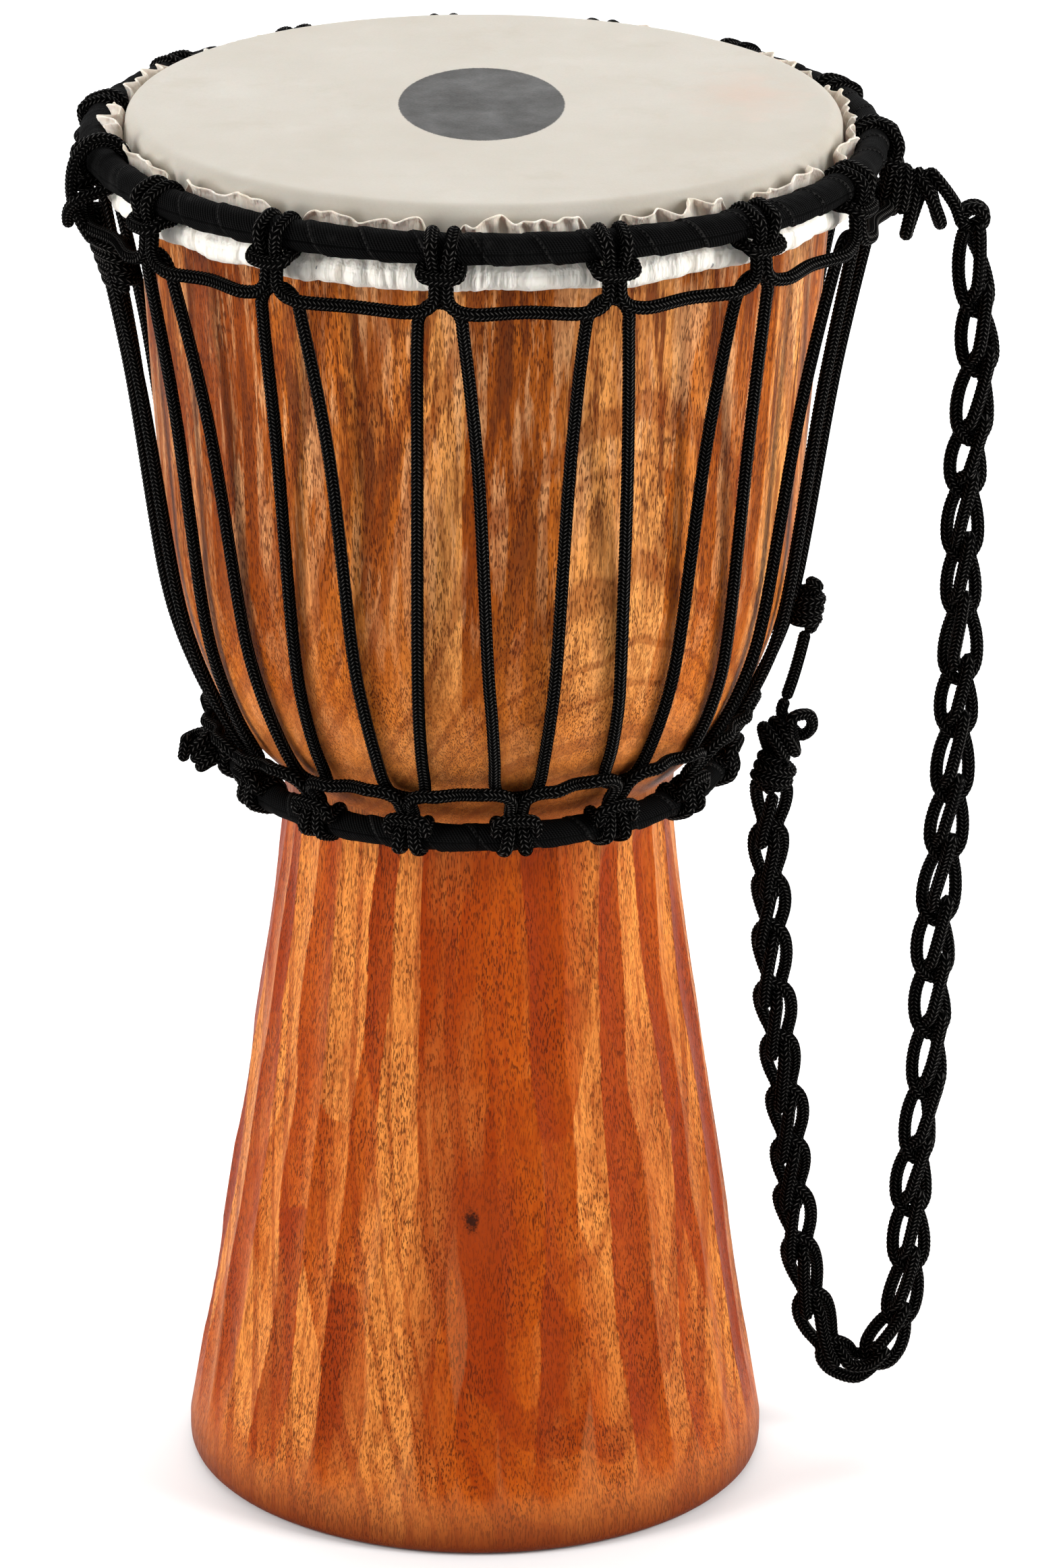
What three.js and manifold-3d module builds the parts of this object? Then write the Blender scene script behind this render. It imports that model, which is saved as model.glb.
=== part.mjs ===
// A rope-tuned djembe, 12 in across the head and 24 in tall, in millimetres, +Z up.
// The origin is the centre of the foot on the floor. The front of the drum faces -Y.
// "Around" is an angle in degrees from the front, turning towards +X.
// "Out" is a distance from the drum's axis, and "up" is a height above the floor.
import * as THREE from "three";
import { mergeVertices } from "three/addons/utils/BufferGeometryUtils.js";
import Module from "manifold-3d";

const wasm = await Module();
wasm.setup();

// Driving dimensions
const totalHeight = 610;
const headRadius = 150; // outside of the skin at the bearing edge
const footRadius = 126;
const waist = { out: 84, up: 320.5 };
const belly = { out: 135.5, up: 430 }; // where the bowl turns from its curve to its nearly straight side
const skinThickness = 1.1;
const ropeDiameter = 4.8;
const hitchCount = 15;
const crownFirstAround = -6;
const lowerFirstAround = 8; // the lower hitches sit half a step round from the crown's
const gap = 0.35; // between pieces that touch
const turns = 45; // sides of every turned piece, three to a hitch step

// Rings: centre of the section, radius of the steel and radius over the webbing
const crown = { out: 162.4, up: totalHeight - 13.5, steel: 4.4, wrapped: 6.9 };
const lower = { out: 101.5, up: 321.5, steel: 3.9, wrapped: 6.2 };
const flesh = { out: 155.3, up: totalHeight - 29, steel: 3.1 };

const step = 360 / hitchCount;
const ropeRadius = ropeDiameter / 2;
const hitchWidth = 10.6; // two strands side by side
const hitchClearance = 1.3; // from the webbing to the flats of a hitch's loop
const collarWidth = 20;
const collarHeight = 6;
const collarShare = 0.42; // how far down the neck the collar crosses it
const collarProud = 2.6; // how far in front of the neck it lies
const crownNeck = { out: 169.5, up: totalHeight - 40.4 }; // where the crown's level runs leave a hitch
const lowerNeck = { out: 122.4, up: 348.5 };

// ---- Helpers ----

const radians = THREE.MathUtils.degToRad;

function place(out, around, up, along = 0) {
  // along is a distance sideways from the direction "around"
  const a = radians(around);
  return new THREE.Vector3(
    out * Math.sin(a) + along * Math.cos(a),
    -out * Math.cos(a) + along * Math.sin(a),
    up,
  );
}

function turned(profile, sides = turns) {
  // profile: Vector2(out, up) points of a closed outline, or of one that starts and ends on the axis
  const loop = THREE.ShapeUtils.isClockWise(profile) ? [...profile].reverse() : [...profile];
  const onAxis = loop.filter((p) => p.x === 0);
  if (onAxis.length === 0) {
    loop.push(loop[0].clone());
  } else {
    while (!(loop[0].x === 0 && loop.at(-1).x === 0)) loop.push(loop.shift());
  }
  return new THREE.LatheGeometry(loop, sides).rotateX(Math.PI / 2);
}

function roundSection(radius, sides) {
  const corners = Array.from({ length: sides }, (_, i) => {
    const a = (i / sides) * 2 * Math.PI;
    return new THREE.Vector2(radius * Math.cos(a), radius * Math.sin(a));
  });
  return new THREE.Shape(corners);
}

// A rope's route through chosen stations, straight from one to the next
class Route extends THREE.Curve {
  constructor(stations) {
    super();
    this.stations = stations;
  }
  getPoint(t, target = new THREE.Vector3()) {
    const last = this.stations.length - 1;
    const i = Math.min(Math.floor(t * last), last - 1);
    return target.lerpVectors(this.stations[i], this.stations[i + 1], t * last - i);
  }
  getPointAt(t, target) {
    return this.getPoint(t, target);
  }
  getTangentAt(t, target) {
    return this.getTangent(t, target);
  }
}

function rope(stations, radius = ropeRadius, sides = 6) {
  return new THREE.ExtrudeGeometry(roundSection(radius, sides), {
    steps: stations.length - 1,
    extrudePath: new Route(stations),
  });
}

function band(centreline, thickness) {
  // The closed outline of a sheet of even thickness that follows a line
  const sides = [-1, 1].map((side) =>
    centreline.map((p, i) => {
      const before = centreline[Math.max(i - 1, 0)];
      const after = centreline[Math.min(i + 1, centreline.length - 1)];
      const along = after.clone().sub(before).normalize();
      const across = new THREE.Vector2(-along.y, along.x).multiplyScalar((side * thickness) / 2);
      return p.clone().add(p.x === 0 ? new THREE.Vector2(0, across.y) : across);
    }),
  );
  return [...sides[0], ...sides[1].reverse()];
}

function arc(out, up, radius, from, to, pieces) {
  return Array.from({ length: pieces + 1 }, (_, i) => {
    const a = radians(from + ((to - from) * i) / pieces);
    return new THREE.Vector2(out + radius * Math.cos(a), up + radius * Math.sin(a));
  });
}

function solidOf(geometry) {
  const bare = geometry.clone();
  bare.deleteAttribute("normal");
  bare.deleteAttribute("uv");
  const merged = mergeVertices(bare);
  const triVerts = merged.index ? Uint32Array.from(merged.index.array) : null;
  return new wasm.Manifold(
    new wasm.Mesh({ numProp: 3, vertProperties: merged.attributes.position.array, triVerts }),
  );
}

function joined(geometries) {
  const whole = geometries.map(solidOf).reduce((a, b) => a.add(b));
  const mesh = whole.getMesh();
  const result = new THREE.BufferGeometry();
  result.setAttribute("position", new THREE.BufferAttribute(mesh.vertProperties, 3));
  result.setIndex(new THREE.BufferAttribute(mesh.triVerts, 1));
  return result;
}

function sideways(shape, width, around) {
  // A shape drawn in the out-up plane, given a width across the direction "around"
  const across = place(0, around, 0, -1);
  const upwards = new THREE.Vector3(0, 0, 1);
  const frame = new THREE.Matrix4().makeBasis(place(1, around, 0), upwards, across);
  return new THREE.ExtrudeGeometry(shape, { depth: width, bevelEnabled: false })
    .translate(0, 0, -width / 2)
    .applyMatrix4(frame);
}

// ---- Shell ----

const stemTop = 300;
const rimRound = 5.2; // rounding of the bearing edge
const footRound = 6;
const footBand = 12; // the short upright side at the floor
const throatRadius = 50;
const bowlFloor = 336; // where the throat opens into the bowl
const bore = { foot: 109, bowl: 118, rim: 134 }; // inside radii
const woodTop = totalHeight - skinThickness - gap;
const rimCentre = { out: headRadius - skinThickness - gap - rimRound, up: woodTop - rimRound };

function shellOutside() {
  const path = new THREE.Path();
  path.moveTo(footRadius - footRound, 0);
  path.quadraticCurveTo(footRadius, 0, footRadius, footRound);
  path.lineTo(footRadius, footBand);
  path.quadraticCurveTo(100.8, 164, waist.out, stemTop);
  path.lineTo(waist.out, waist.up);
  path.bezierCurveTo(100, 334.5, 126, 358, belly.out, belly.up);
  path.quadraticCurveTo(141.5, 508, rimCentre.out + rimRound, rimCentre.up);
  return path.getPoints(4);
}

function shellInside() {
  const path = new THREE.Path();
  path.moveTo(bore.rim, woodTop - 9);
  path.quadraticCurveTo(130, 480, bore.bowl, 424);
  path.quadraticCurveTo(104, 350, throatRadius, bowlFloor);
  path.lineTo(throatRadius, stemTop);
  path.quadraticCurveTo(66, 150, bore.foot, 0);
  return path.getPoints(3);
}

const bearingEdge = arc(rimCentre.out, rimCentre.up, rimRound, 30, 90, 2);
const shell = turned([...shellOutside(), ...bearingEdge, ...shellInside()]);

// ---- Skin and its hoop ----

const foldRadius = flesh.steel + gap + 0.9; // to the middle of the skin

function drumheadProfile() {
  const half = skinThickness / 2;
  const faceLine = [0, rimCentre.out].map((out) => new THREE.Vector2(out, totalHeight - half));
  const overEdge = arc(rimCentre.out, rimCentre.up, headRadius - half - rimCentre.out, 60, 0, 2);
  const roundHoop = arc(flesh.out, flesh.up, foldRadius, 180, 450, 6);
  return band([...faceLine, ...overEdge, ...roundHoop], skinThickness);
}

const drumhead = turned(drumheadProfile());
const fleshRing = turned(arc(flesh.out, flesh.up, flesh.steel, 0, 300, 5));

// ---- Rings and their webbing ----

function hoop(ring) {
  return turned(arc(ring.out, ring.up, ring.steel, 0, 300, 5));
}

function webbing(ring) {
  // A sleeve with a slit on its inner side, where the turns of webbing meet
  const pieces = 6;
  const slit = 40; // degrees of the section
  const flatsToCorners = Math.cos(radians((360 - slit) / pieces / 2));
  const inner = (ring.steel + gap) / flatsToCorners;
  const half = 180 - slit / 2;
  return turned([
    ...arc(ring.out, ring.up, ring.wrapped, -half, half, pieces + 1),
    ...arc(ring.out, ring.up, inner, half, -half, pieces),
  ]);
}

// ---- Cradle ropes ----

function strapSection(from, to, thickness) {
  const along = new THREE.Vector2().subVectors(to, from).normalize();
  const across = new THREE.Vector2(-along.y, along.x).multiplyScalar(thickness / 2);
  const corners = [
    from.clone().sub(across),
    to.clone().sub(across),
    to.clone().add(across),
    from.clone().add(across),
  ];
  return new THREE.Shape(corners);
}

function hitch(ring, neck, around) {
  // Two strands over the ring, their neck, and the collar that holds the neck to the ring
  const inner = ring.wrapped + hitchClearance;
  const outer = ring.wrapped + ropeDiameter;
  const loop = new THREE.Shape(arc(ring.out, ring.up, outer, 0, 315, 7));
  loop.holes.push(new THREE.Path(arc(ring.out, ring.up, inner, 315, 0, 7)));
  const down = Math.sign(neck.up - ring.up);
  const leaves = arc(ring.out, ring.up, (inner + outer) / 2, 25 * down, 25 * down, 1)[0];
  const ends = new THREE.Vector2(neck.out, neck.up);
  const collarAt = leaves.clone().lerp(ends, collarShare).add(new THREE.Vector2(collarProud, 0));
  const halfHeight = new THREE.Vector2(0, collarHeight / 2);
  const collarTop = collarAt.clone().add(halfHeight);
  const collar = strapSection(collarAt.clone().sub(halfHeight), collarTop, ropeDiameter);
  return [
    sideways(loop, hitchWidth, around),
    sideways(strapSection(leaves, ends, ropeDiameter), hitchWidth, around),
    sideways(collar, collarWidth, around),
  ];
}

function cradleRope(ring, neck, firstAround) {
  const pieces = [];
  for (let i = 0; i < hitchCount; i += 1) {
    const around = firstAround + i * step;
    const levelRun = [place(neck.out, around, neck.up), place(neck.out, around + step, neck.up)];
    pieces.push(...hitch(ring, neck, around), rope(levelRun));
  }
  return joined(pieces);
}

// ---- Tuning rope ----

const topHook = { out: 162.6, up: crownNeck.up - 0.6, half: 9.6 }; // the uprights hang this far either side
const behindTop = { out: 162, up: crownNeck.up + 7, half: 5 };
const offWood = ropeRadius + 0.7;
const touches = { out: 131.2 + offWood, up: 407 }; // the uprights meet the bowl here
const onBowl = { out: 125.9 + offWood, up: 384.3 };
const bottomHook = { out: 111.2 + offWood, up: 348.5, half: 9.6 };
const behindBottom = { out: 108.6 + offWood, up: 342, half: 5 };
const slant = { top: 3.4, left: 5.6, right: 9.4 }; // degrees from an upright's crown hitch to its two ends
const bends = { touches: 0.7, onBowl: 0.85 }; // shares of that way down
const firstHitch = -3; // the tuning rope starts and is tied off here, counted from the front

function tuningRope() {
  // From the stopper knot up to a crown neck, behind it and down, behind a lower neck, and so on all round
  const stations = [];
  const hooked = (spot, around, side) => place(spot.out, around, spot.up, side * spot.half);
  const lastHitch = firstHitch + hitchCount - 1;
  for (let i = firstHitch; i <= lastHitch; i += 1) {
    const top = crownFirstAround + i * step;
    const bottom = lowerFirstAround + i * step;
    const at = (spot, share, side) => {
      const aside = THREE.MathUtils.lerp(slant.top, side < 0 ? slant.left : slant.right, share);
      return place(spot.out, top + side * aside, spot.up);
    };
    stations.push(hooked(bottomHook, bottom - step, 1));
    stations.push(at(onBowl, bends.onBowl, -1));
    stations.push(at(touches, bends.touches, -1));
    stations.push(hooked(topHook, top, -1), hooked(behindTop, top, -1));
    stations.push(hooked(behindTop, top, 1), hooked(topHook, top, 1));
    stations.push(at(touches, bends.touches, 1));
    stations.push(at(onBowl, bends.onBowl, 1));
    stations.push(hooked(bottomHook, bottom, -1));
    if (i < lastHitch) {
      stations.push(hooked(behindBottom, bottom, -1), hooked(behindBottom, bottom, 1));
    }
  }
  return rope(stations);
}

// ---- Knots and the carry strap ----

const strapDiameter = 17;

function knot(half, height) {
  // A rounded lump on its own upright axis
  const profile = [
    [0, -1],
    [0.62, -0.8],
    [1, -0.3],
    [1, 0.3],
    [0.62, 0.8],
    [0, 1],
  ].map(([out, up]) => new THREE.Vector2(out * half, (up * height) / 2));
  return turned(profile, 10);
}

const tieOffAt = { around: crownFirstAround + firstHitch * step, behindHook: 5.4, belowHook: 29 };
const tieOffSize = { width: 39, depth: 15.5, height: 21 };
const tieOffHole = { width: 31, depth: 7 };

function pointedBox(width, depth) {
  // A flattened hexagon
  const corner = depth * 0.3;
  const path = new THREE.Path();
  path.moveTo(-width / 2 + corner, -depth / 2);
  path.lineTo(width / 2 - corner, -depth / 2);
  path.lineTo(width / 2, 0);
  path.lineTo(width / 2 - corner, depth / 2);
  path.lineTo(-width / 2 + corner, depth / 2);
  path.lineTo(-width / 2, 0);
  return path.getPoints();
}

function tieOff() {
  // Spare rope wound round the two uprights of one hitch
  const shape = new THREE.Shape(pointedBox(tieOffSize.width, tieOffSize.depth));
  shape.holes.push(new THREE.Path(pointedBox(tieOffHole.width, tieOffHole.depth)));
  return new THREE.ExtrudeGeometry(shape, { depth: tieOffSize.height, bevelEnabled: false });
}

const strapTopKnot = { at: [192, 0, 575], half: 14, height: 30 };
const strapLowerKnot = { at: [129.5, 0, 327.5], half: 11.5, height: 38 };
const strapTailKnot = { around: 85.6, out: 140, up: 392, half: 6.5, height: 20 };
const stopperAround = lowerFirstAround + (firstHitch - 1) * step;
const stopperKnot = { around: stopperAround, out: 118.6, up: 320.5, half: 4.6, height: 20 };

const strapRoute = [
  [203, 0, 559.4],
  [206, 0, 545],
  [208, 0, 525],
  [209.5, 0, 500],
  [207.5, 0, 470],
  [205, 0, 435],
  [205, 0, 400],
  [205, 0, 360],
  [204, 0, 320],
  [201.5, 0, 285],
  [198.5, 0, 250],
  [197.5, 0, 215],
  [197, 0, 180],
  [194, 0, 150],
  [191, 0, 120],
  [190.5, 0, 90],
  [189, 0, 70],
  [184, 0, 52],
  [177, 0, 39],
  [168, 0, 33],
  [159, 0, 39],
  [152, 0, 52],
  [147, 0, 68],
  [142, 0, 90],
  [138, 0, 120],
  [136, 0, 150],
  [131.5, 0, 185],
  [127.5, 0, 220],
  [126, 0, 255],
  [125, 0, 285],
  [125.5, 0, 307.8],
].map((p) => new THREE.Vector3(...p));

const tailRoute = [
  [131, 0, 347.2],
  [134, -2, 358],
  [136.5, -6, 370],
  [138.5, -10, 381.4],
].map((p) => new THREE.Vector3(...p));

// ---- The assembly ----

const djembe = new THREE.Group();

function add(name, geometry, colour, roughness, metalness = 0) {
  const material = new THREE.MeshStandardMaterial({ color: colour, roughness, metalness });
  const mesh = new THREE.Mesh(geometry, material);
  mesh.name = name;
  djembe.add(mesh);
  return mesh;
}

const addWood = (name, geometry) => add(name, geometry, 0xb5622b, 0.45);
const addSkin = (name, geometry) => add(name, geometry, 0xe6ddcc, 0.6);
const addSteel = (name, geometry) => add(name, geometry, 0x8c8f93, 0.4, 1);
const addWebbing = (name, geometry) => add(name, geometry, 0x121213, 0.85);
const addRope = (name, geometry) => add(name, geometry, 0x0d0d0e, 0.6);

addWood("shell", shell);
addSkin("drumhead", drumhead);
addSteel("flesh_ring", fleshRing);
addSteel("crown_ring", hoop(crown));
addWebbing("crown_ring_wrap", webbing(crown));
addSteel("lower_ring", hoop(lower));
addWebbing("lower_ring_wrap", webbing(lower));
addRope("crown_cradle_rope", cradleRope(crown, crownNeck, crownFirstAround));
addRope("lower_cradle_rope", cradleRope(lower, lowerNeck, lowerFirstAround));
addRope("tuning_rope", tuningRope());
addRope("carry_strap", rope(strapRoute, strapDiameter / 2, 8));
addRope("strap_tail", rope(tailRoute));

function addKnot(name, spot) {
  const mesh = addRope(name, knot(spot.half, spot.height));
  if (spot.at) {
    mesh.position.set(...spot.at);
  } else {
    mesh.position.copy(place(spot.out, spot.around, spot.up));
  }
}

addKnot("strap_top_knot", strapTopKnot);
addKnot("strap_lower_knot", strapLowerKnot);
addKnot("strap_tail_knot", strapTailKnot);
addKnot("lower_stopper_knot", stopperKnot);

const tie = addRope("tuning_tie_off", tieOff());
const lean = Math.atan2(topHook.out - touches.out, topHook.up - touches.up);
tie.rotation.set(lean, 0, radians(tieOffAt.around), "ZYX");
tie.position.copy(
  place(topHook.out - tieOffAt.behindHook, tieOffAt.around, topHook.up - tieOffAt.belowHook),
);

export default djembe;
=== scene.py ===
"""A rope-tuned djembe: carved shell, goat skin head, wound rings, black rope rigging and a chained strap.

Lengths are in millimetres until a mesh is made. "Around" is an angle in degrees from the drum's front (-Y),
turning towards +X. "Out" is a distance from the drum's axis, and "up" a height above the floor.
"""

import math

import bpy
import numpy as np
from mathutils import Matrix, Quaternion, Vector


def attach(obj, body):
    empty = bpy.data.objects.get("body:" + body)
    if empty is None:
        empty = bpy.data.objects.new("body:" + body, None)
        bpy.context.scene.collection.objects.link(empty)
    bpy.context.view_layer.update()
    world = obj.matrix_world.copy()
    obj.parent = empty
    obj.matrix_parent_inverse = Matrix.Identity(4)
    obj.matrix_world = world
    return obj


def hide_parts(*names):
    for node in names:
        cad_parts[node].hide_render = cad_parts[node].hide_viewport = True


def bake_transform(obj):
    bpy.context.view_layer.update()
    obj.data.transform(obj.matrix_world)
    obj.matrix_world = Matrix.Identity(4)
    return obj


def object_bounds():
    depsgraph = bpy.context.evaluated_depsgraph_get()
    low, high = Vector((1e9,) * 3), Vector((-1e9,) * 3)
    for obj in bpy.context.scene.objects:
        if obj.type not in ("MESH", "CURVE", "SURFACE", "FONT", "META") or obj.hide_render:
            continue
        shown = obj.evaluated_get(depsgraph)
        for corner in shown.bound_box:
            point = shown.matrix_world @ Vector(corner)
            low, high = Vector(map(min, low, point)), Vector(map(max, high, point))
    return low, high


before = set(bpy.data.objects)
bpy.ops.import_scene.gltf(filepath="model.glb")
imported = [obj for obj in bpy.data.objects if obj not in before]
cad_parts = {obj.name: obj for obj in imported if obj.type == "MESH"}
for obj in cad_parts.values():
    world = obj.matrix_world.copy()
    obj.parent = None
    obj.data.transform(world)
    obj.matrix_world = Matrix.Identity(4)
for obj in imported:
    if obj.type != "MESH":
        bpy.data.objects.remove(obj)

cad_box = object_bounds()

MM = 0.001

# ---- Driving dimensions ----

HEIGHT = cad_box[1].z / MM
HEAD_OUT = 150.0  # outside of the skin at the bearing edge
RIM_ROUND = 5.2  # the bearing edge's own rounding
SKIN = 1.1
GAP = 0.35
ROPE = 2.55  # the rope's radius
HITCH_ROPE = 2.7  # where it is pulled flat in a hitch
HITCHES = 15
STEP = 360 / HITCHES
CROWN_AROUND = -6
LOWER_AROUND = 8
FIRST_HITCH = -3  # the tuning rope starts and is tied off at this one, counted from the front


class Ring:
    """A steel hoop and the webbing wound on it: the section's centre, and the radius bare and wound.

    Lean is how much higher the ring sits at the drum's right than at its middle.
    """

    def __init__(self, out, up, steel, wound, lean=0.0):
        self.out = out
        self.up = up
        self.steel = steel
        self.wound = wound
        self.lean = lean


class Hitch:
    """A cow hitch's shape: the level run (out, up, lean), and its collar's end and middle.

    The collar's two spots are measured from the ring's centre: out, and towards the level run.
    """

    def __init__(self, out, up, lean, collar_end, collar_middle):
        self.out = out
        self.up = up
        self.lean = lean
        self.collar_end = collar_end
        self.collar_middle = collar_middle


CROWN = Ring(162.4, HEIGHT - 13.9, 4.4, 6.9)
LOWER = Ring(101.5, 321.5, 3.9, 6.2, lean=1.8)
FLESH = Ring(155.3, HEIGHT - 29, 3.1, 3.1)
CROWN_HITCH = Hitch(168.6, HEIGHT - 39.6, 0.0, (5.2, 7.2), (10.8, 9.8))
LOWER_HITCH = Hitch(117.0, 346.2, 4.5, (7.4, 4.8), (10.2, 10.8))


def leaning(lean, around):
    """How much higher a leaning ring sits at this angle."""
    return lean * np.sin(np.radians(around))


# ---- Lines and meshes ----


def place(out, around, up, along=0.0):
    """Points at a distance out, an angle and a height, and a distance sideways along the turn."""
    a = np.radians(around)
    x = out * np.sin(a) + along * np.cos(a)
    y = -out * np.cos(a) + along * np.sin(a)
    return np.stack(np.broadcast_arrays(x, y, up), -1).astype(float)


def smooth_line(points, step, closed=False):
    """Evenly spaced points on a smooth curve through the given ones."""
    p = np.asarray(points, float)
    if closed:
        p = np.vstack([p[-1], p, p[0], p[1]])
    else:
        p = np.vstack([2 * p[0] - p[1], p, 2 * p[-1] - p[-2]])
    a, b, c, d = p[:-3], p[1:-2], p[2:-1], p[3:]
    gaps = [np.sqrt(np.linalg.norm(n - m, axis=1))[:, None] for m, n in ((a, b), (b, c), (c, d))]
    t1, t2, t3 = gaps[0], gaps[0] + gaps[1], sum(gaps)
    pieces = 14
    t = t1[:, None] + (t2 - t1)[:, None] * np.arange(pieces)[None, :, None] / pieces
    t1, t2, t3 = t1[:, None], t2[:, None], t3[:, None]
    a, b, c, d = (q[:, None] for q in (a, b, c, d))
    ab = (t1 - t) / t1 * a + t / t1 * b
    bc = (t2 - t) / (t2 - t1) * b + (t - t1) / (t2 - t1) * c
    cd = (t3 - t) / (t3 - t2) * c + (t - t2) / (t3 - t2) * d
    abc = (t2 - t) / t2 * ab + t / t2 * bc
    bcd = (t3 - t) / (t3 - t1) * bc + (t - t1) / (t3 - t1) * cd
    curve = ((t2 - t) / (t2 - t1) * abc + (t - t1) / (t2 - t1) * bcd).reshape(-1, 3)
    curve = np.vstack([curve, p[-2]])
    along = np.concatenate([[0], np.cumsum(np.linalg.norm(np.diff(curve, axis=0), axis=1))])
    count = max(2, 2 * round(along[-1] / step / 2))
    at = np.linspace(0, along[-1], count + 1)
    line = np.stack([np.interp(at, along, curve[:, i]) for i in range(3)], 1)
    return line[:-1] if closed else line


def frames_along(line, closed=False):
    """Directions along a line, and two across it that turn as little as they can."""
    if closed:
        along = np.roll(line, -1, 0) - np.roll(line, 1, 0)
    else:
        along = np.gradient(line, axis=0)
    along /= np.linalg.norm(along, axis=1)[:, None]
    start = np.array([0.0, 0.0, 1.0]) if abs(along[0][2]) < 0.9 else np.array([1.0, 0.0, 0.0])
    side = np.empty_like(line)
    last = start
    for i, direction in enumerate(along):
        last = last - direction * (last @ direction)
        last /= np.linalg.norm(last)
        side[i] = last
    if closed:
        end = side[-1] - along[0] * (side[-1] @ along[0])
        angle = math.atan2(np.cross(end, side[0]) @ along[0], end @ side[0])
        turn = np.linspace(0, angle, len(line))[:, None]
        side = side * np.cos(turn) + np.cross(along, side) * np.sin(turn)
    return along, side, np.cross(along, side)


def make_mesh(name, points, faces, uv=None, marks=None):
    """A smooth mesh from points in millimetres. Marks and uv hold one value and one pair for each point."""
    mesh = bpy.data.meshes.new(name)
    mesh.from_pydata((np.asarray(points) * MM).tolist(), [], [list(f) for f in faces])
    mesh.polygons.foreach_set("use_smooth", np.ones(len(mesh.polygons), bool))
    if uv is not None:
        corners = np.zeros(len(mesh.loops), np.int32)
        mesh.loops.foreach_get("vertex_index", corners)
        layer = mesh.uv_layers.new(name="UVMap")
        layer.data.foreach_set("uv", np.asarray(uv, np.float32)[corners].ravel())
    for key, values in (marks or {}).items():
        attribute = mesh.attributes.new(key, "FLOAT", "POINT")
        attribute.data.foreach_set("value", np.asarray(values, np.float32).ravel())
    mesh.update()
    piece = bpy.data.objects.new(name, mesh)
    bpy.context.scene.collection.objects.link(piece)
    return piece


def grid_faces(rows, columns, rows_close=False, columns_close=True):
    """Quads of a grid of points stored row by row."""
    i = np.arange(rows if rows_close else rows - 1)
    j = np.arange(columns if columns_close else columns - 1)
    i, j = (g.ravel() for g in np.meshgrid(i, j, indexing="ij"))
    across = (j + 1) % columns
    after = (i + 1) % rows
    corners = [i * columns + j, i * columns + across, after * columns + across, after * columns + j]
    return np.stack(corners, 1)


def finish_piece(piece, material, slot, body, *nodes):
    """Gives a piece its material, hides the CAD parts it stands for, and rides it on its body; the slot is
    not used.
    """
    piece.data.materials.clear()
    piece.data.materials.append(material)
    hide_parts(*nodes)
    if body:
        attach(piece, body)
    return piece


# ---- Rope ----

ROPE_SIDES = 16
ROPE_STEP = 0.9  # half a pick of the braid
ROPE_LUMP = 0.06  # how far the braid's picks stand proud, as a share of the radius


def rope(name, stations, radius=ROPE, closed=False, step=ROPE_STEP):
    """A braided rope through the stations: every other point of its skin stands proud, like a pick."""
    line = smooth_line(stations, step, closed)
    _, side, other = frames_along(line, closed)
    count = len(line)
    k = np.arange(ROPE_SIDES)
    angle = 2 * np.pi * k / ROPE_SIDES
    ring = side[:, None] * np.cos(angle)[None, :, None] + other[:, None] * np.sin(angle)[None, :, None]
    proud = np.where((np.arange(count)[:, None] + k[None]) % 2, 1 + ROPE_LUMP, 1 - ROPE_LUMP)
    if not closed:
        ends = np.minimum(np.arange(count), np.arange(count)[::-1]) * step / radius
        proud = proud * np.sqrt(np.clip(ends * (2 - ends), 0.05, 1) * (ends < 1) + (ends >= 1))[:, None]
    points = (line[:, None] + ring * (radius * proud)[:, :, None]).reshape(-1, 3)
    faces = grid_faces(count, ROPE_SIDES, rows_close=closed).tolist()
    if not closed:
        faces.append(list(range(ROPE_SIDES))[::-1])
        faces.append([(count - 1) * ROPE_SIDES + int(i) for i in k])
    uv = np.stack(np.broadcast_arrays(k[None] / ROPE_SIDES, np.arange(count)[:, None] * step / 1.8), -1)
    return make_mesh(name, points, faces, uv.reshape(-1, 2))


# ---- Camera ----


def make_camera():
    """Stands where the picture was taken: in front, high, and looking a little down."""
    camera = bpy.data.objects.new("camera", bpy.data.cameras.new("camera"))
    bpy.context.scene.collection.objects.link(camera)
    stand = Vector((0, -3.2032, 1.51449))
    target = Vector((0, 0, 0.308637))
    roll = 0.0068
    camera.rotation_mode = "QUATERNION"
    camera.location = stand
    camera.rotation_quaternion = (target - stand).to_track_quat("-Z", "Y") @ Quaternion((0, 0, 1), roll)
    camera.data.lens = 182.59
    camera.data.shift_x = 0.0326
    camera.data.shift_y = -0.002
    camera.data.clip_end = 50
    bpy.context.scene.camera = camera


make_camera()

# ---- Carry strap: one rope worked into a chain of loops, hung from the crown and taken back up ----

STRAP_ROPE = 2.75  # the chain is slack, so its rope is fuller
LINK_PITCHES = (27.0, 24.5)  # down the outer run, and up the inner one
OUTER_SHARE = 0.52  # how much of the chain is the outer run
STRAP_ROUTE = [  # x and height along the chain's middle
    (203, 559.4), (206, 545), (208, 525), (209.5, 500), (207.5, 470), (205, 435), (205, 400),
    (205, 360), (204, 320), (201.5, 285), (198.5, 250), (197.5, 215), (197, 180), (194, 150),
    (191, 120), (190.5, 90), (189, 70), (184, 52), (177, 39), (168, 33), (159, 39), (152, 52),
    (147, 68), (142, 90), (138, 120), (136, 150), (131.5, 185), (127.5, 220), (126, 255),
    (125, 285), (125.5, 307.8),
]
TAIL_ROUTE = [(131, 0, 347.2), (134, -2, 358), (136.5, -6, 370), (138.5, -10, 381.4)]

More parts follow.
